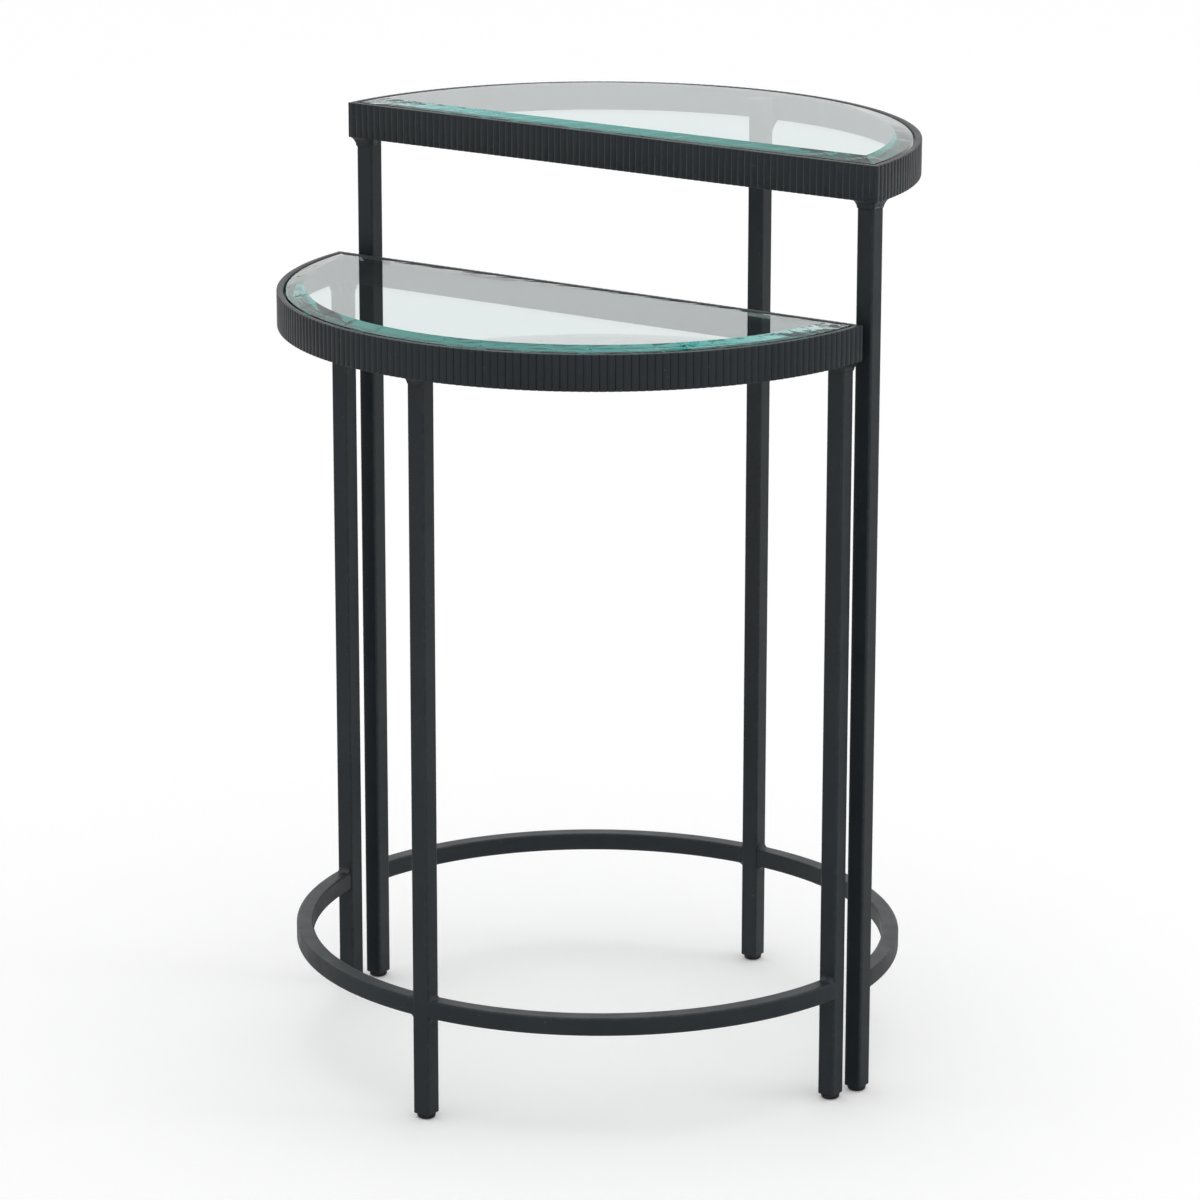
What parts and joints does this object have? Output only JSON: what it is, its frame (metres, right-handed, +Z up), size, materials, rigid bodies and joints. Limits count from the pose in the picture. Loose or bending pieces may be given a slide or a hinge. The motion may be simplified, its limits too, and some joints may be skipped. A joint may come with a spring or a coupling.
{
  "type": "nesting tables",
  "caption": "Half-round glass-topped side tables, one taller than the other, that stand back to back as a round table on slim square metal legs.",
  "frame": {"origin": "on the floor, at the centre of the pair's overall box, between the two straight sides", "axes": "+Z up, +X to the right along the straight sides, +Y from the low table towards the tall table"},
  "size_m": [0.4152, 0.407, 0.6123],
  "materials": {
    "black_paint": "satin black powder coat on steel, slightly uneven",
    "clear_glass": "polished clear float glass with a green edge",
    "clear_pad": "clear soft silicone",
    "black_plastic": "moulded black plastic"
  },
  "bodies": {
    "tall_frame": {"tall_rim_straight": "black_paint", "tall_left_rim_arc": "black_paint", "tall_right_rim_arc": "black_paint", "tall_ledge_straight": "black_paint", "tall_ledge_arc": "black_paint", "tall_glass_pads": "clear_pad", "tall_left_leg": "black_paint", "tall_right_leg": "black_paint", "tall_middle_leg": "black_paint", "tall_left_stretcher": "black_paint", "tall_right_stretcher": "black_paint", "tall_top_welds": "black_paint", "tall_stretcher_welds": "black_paint", "tall_left_glide": "black_plastic", "tall_right_glide": "black_plastic", "tall_middle_glide": "black_plastic"},
    "tall_glass": {"tall_glass": "clear_glass"},
    "low_frame": {"low_rim_straight": "black_paint", "low_left_rim_arc": "black_paint", "low_right_rim_arc": "black_paint", "low_ledge_straight": "black_paint", "low_ledge_arc": "black_paint", "low_glass_pads": "clear_pad", "low_left_leg": "black_paint", "low_right_leg": "black_paint", "low_middle_leg": "black_paint", "low_left_stretcher": "black_paint", "low_right_stretcher": "black_paint", "low_top_welds": "black_paint", "low_stretcher_welds": "black_paint", "low_left_glide": "black_plastic", "low_right_glide": "black_plastic", "low_middle_glide": "black_plastic"},
    "low_glass": {"low_glass": "clear_glass"}
  },
  "joints": [
    {"name": "low_table_pull", "type": "slide", "parent": "tall_frame", "child": "low_frame", "axis": [0, -1, 0], "range_m": [0, 0.4]},
    {"name": "tall_glass_lift", "type": "slide", "parent": "tall_frame", "child": "tall_glass", "axis": [0, 0, 1], "range_m": [0, 0.06]},
    {"name": "low_glass_lift", "type": "slide", "parent": "low_frame", "child": "low_glass", "axis": [0, 0, 1], "range_m": [0, 0.06]}
  ]
}
